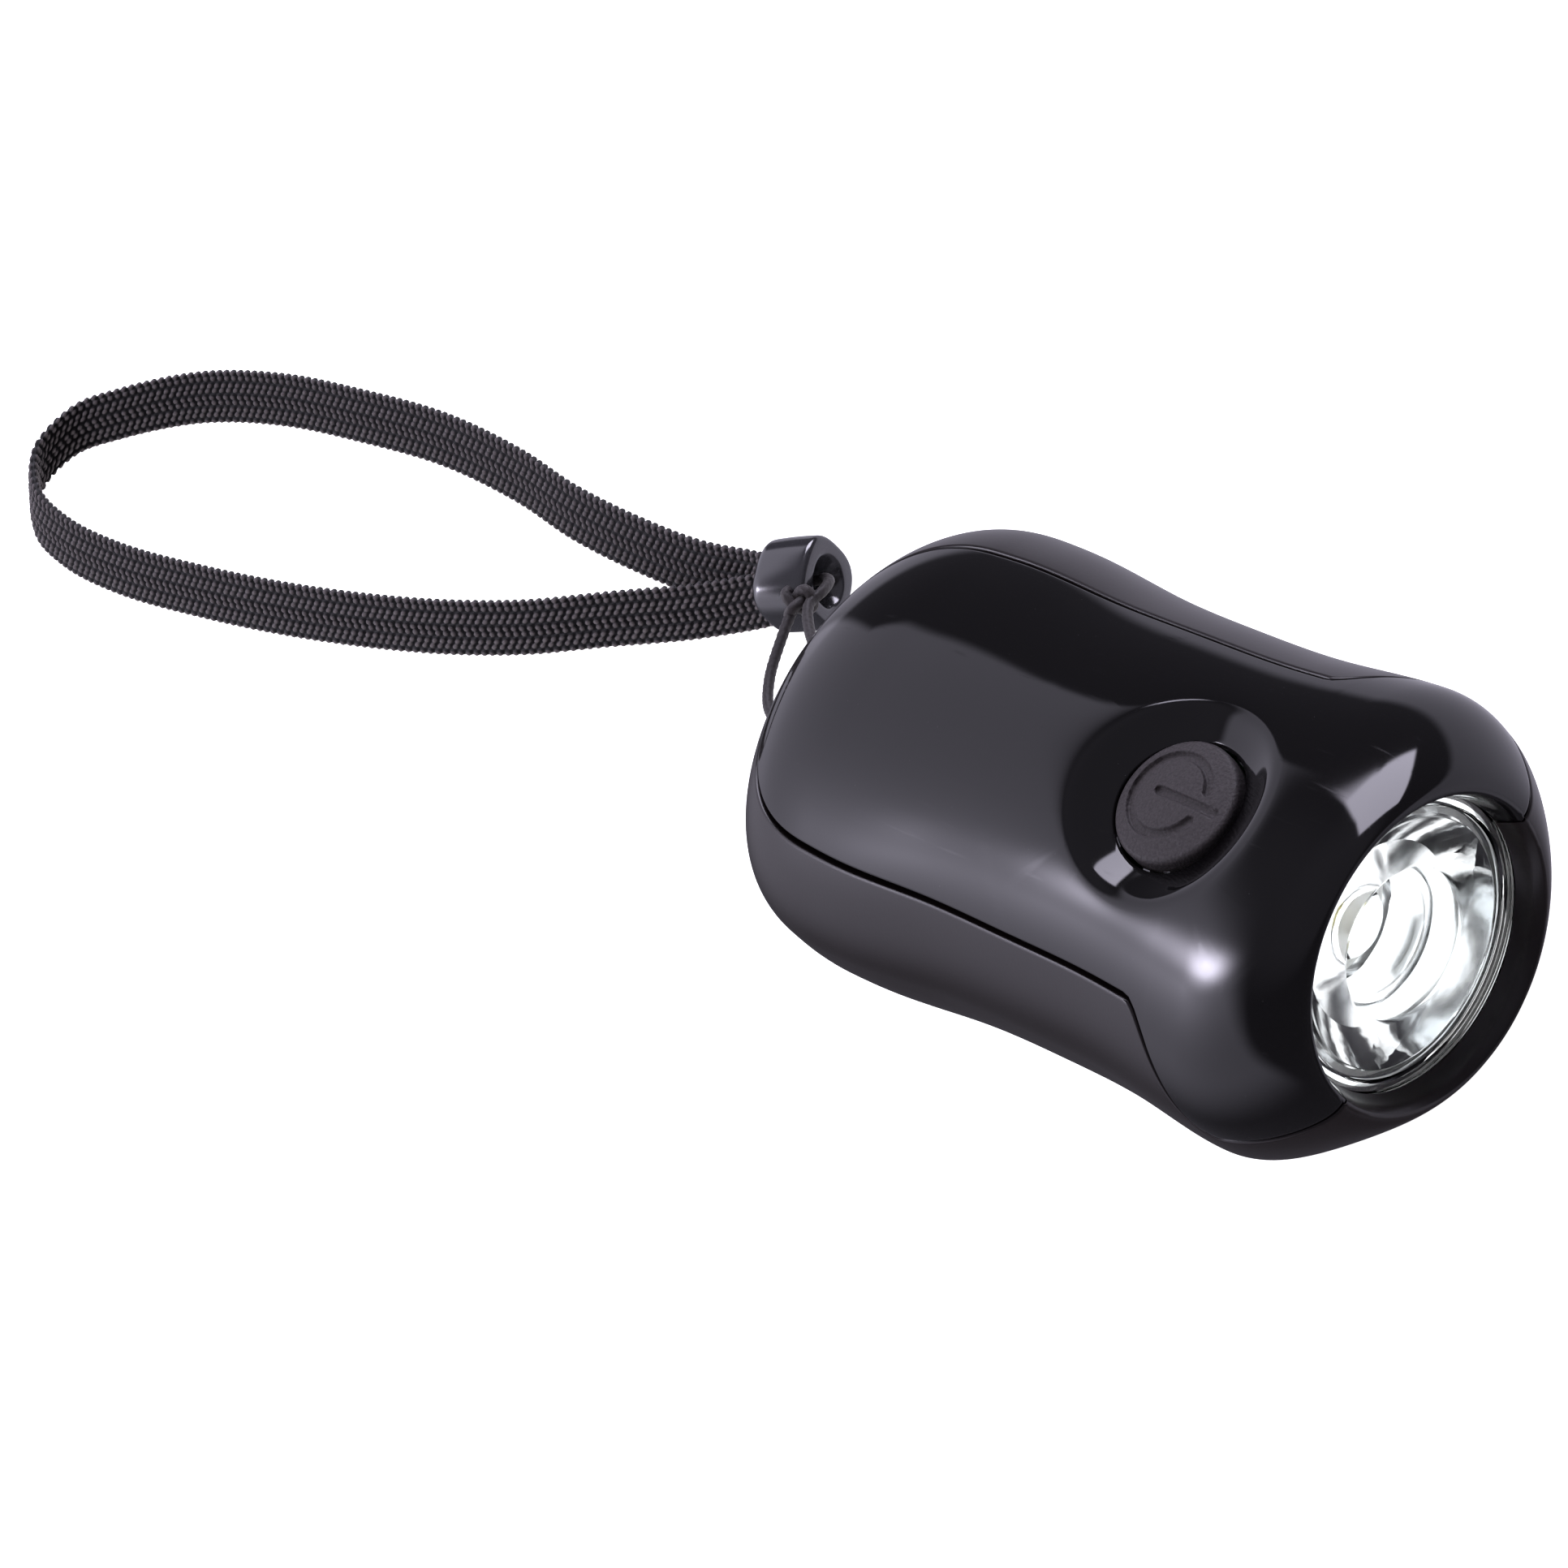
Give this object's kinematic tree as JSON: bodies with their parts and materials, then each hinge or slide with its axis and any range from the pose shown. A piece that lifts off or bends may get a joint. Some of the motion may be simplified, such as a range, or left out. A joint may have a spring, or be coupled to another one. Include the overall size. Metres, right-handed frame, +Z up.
{
  "type": "hand crank flashlight",
  "caption": "Palm-sized black flashlight with a thumb button, a recessed lens, a folding crank set flush in its flat base and a braided wrist strap.",
  "frame": {"origin": "on the flat base, below the middle of the body without its strap", "axes": "+X along the body towards the lens, +Y to its left, +Z up through the button"},
  "size_m": [0.2437, 0.0508, 0.0349],
  "materials": {
    "glossy_black_abs": "high gloss",
    "satin_black_abs": "satin",
    "soft_rubber": "matte fine grain",
    "clear_acrylic": "clear",
    "steel": "bright",
    "brass": "bright",
    "copper_wire": "enamelled",
    "magnet": "dull",
    "nylon": "natural",
    "white_plastic": "satin",
    "circuit_board": "satin",
    "emitter": "phosphor",
    "red_wire": "satin",
    "black_wire": "satin",
    "woven_nylon": "braided"
  },
  "bodies": {
    "torch": {"top_shell": "glossy_black_abs", "bottom_shell": "satin_black_abs", "strap_bead": "satin_black_abs", "gearbox_plate": "satin_black_abs", "gearbox_cover": "satin_black_abs", "switch_body": "satin_black_abs", "battery_cradle": "satin_black_abs", "lens_gasket": "soft_rubber", "lens": "clear_acrylic", "lanyard_bar": "steel", "case_screw_1": "steel", "case_screw_2": "steel", "case_screw_3": "steel", "case_screw_4": "steel", "gear_axle_1": "steel", "gear_axle_2": "steel", "gearbox_screw_1": "steel", "gearbox_screw_2": "steel", "gearbox_screw_3": "steel", "gearbox_screw_4": "steel", "generator_can": "steel", "board_screw_1": "steel", "board_screw_2": "steel", "board_screw_3": "steel", "board_screw_4": "steel", "battery_cell_1": "steel", "battery_cell_2": "steel", "battery_cell_3": "steel", "crank_bush": "brass", "rotor_bush": "brass", "battery_tab_1": "brass", "battery_tab_2": "brass", "coil_winding": "copper_wire", "coil_bobbin": "white_plastic", "lens_holder": "white_plastic", "lamp_board": "white_plastic", "circuit_board": "circuit_board", "lamp_emitter": "emitter", "lamp_wire_red": "red_wire", "lamp_wire_black": "black_wire", "strap_cord": "woven_nylon", "strap_webbing": "woven_nylon"},
    "crank": {"crank_drum": "satin_black_abs", "hinge_pin": "steel", "crank_shaft": "steel", "crank_screw": "steel", "drive_gear": "nylon"},
    "arm": {"crank_arm": "satin_black_abs", "knob_rivet": "steel"},
    "knob": {"crank_knob": "satin_black_abs"},
    "gear_one": {"compound_gear_1": "nylon"},
    "gear_two": {"compound_gear_2": "nylon"},
    "rotor": {"rotor_pinion": "brass", "rotor_shaft": "steel", "rotor_magnet": "magnet"},
    "button": {"power_button": "soft_rubber", "switch_plunger": "steel"}
  },
  "joints": [
    {"name": "crank_spin", "type": "hinge", "parent": "torch", "child": "crank", "pos_m": [-0.017, 0, 0], "axis": [0, 0, 1], "continuous": true},
    {"name": "crank_fold", "type": "hinge", "parent": "crank", "child": "arm", "pos_m": [-0.0088, 0, 0.002], "axis": [0, -1, 0], "range_deg": [0, 145]},
    {"name": "knob_spin", "type": "hinge", "parent": "arm", "child": "knob", "pos_m": [-0.0243, 0, 0.006], "axis": [0, 0, 1], "continuous": true},
    {"name": "gear_one_spin", "type": "hinge", "parent": "torch", "child": "gear_one", "pos_m": [-0.00449, -0.00583, 0.014], "axis": [0, 0, 1], "continuous": true},
    {"name": "gear_two_spin", "type": "hinge", "parent": "torch", "child": "gear_two", "pos_m": [0.00007, 0.00396, 0.016], "axis": [0, 0, 1], "continuous": true},
    {"name": "rotor_spin", "type": "hinge", "parent": "torch", "child": "rotor", "pos_m": [-0.01056, 0.00208, 0.02], "axis": [0, 0, 1], "continuous": true},
    {"name": "button_press", "type": "slide", "parent": "torch", "child": "button", "axis": [0, 0, -1], "range_m": [0, 0.0009], "stiffness_N_per_m": 300, "springref_m": -0.0005}
  ],
  "couplings": [
    {"joint": "gear_one_spin", "follows": "crank_spin", "ratio": -3.6},
    {"joint": "gear_two_spin", "follows": "crank_spin", "ratio": 9.36},
    {"joint": "rotor_spin", "follows": "crank_spin", "ratio": -24.336}
  ]
}
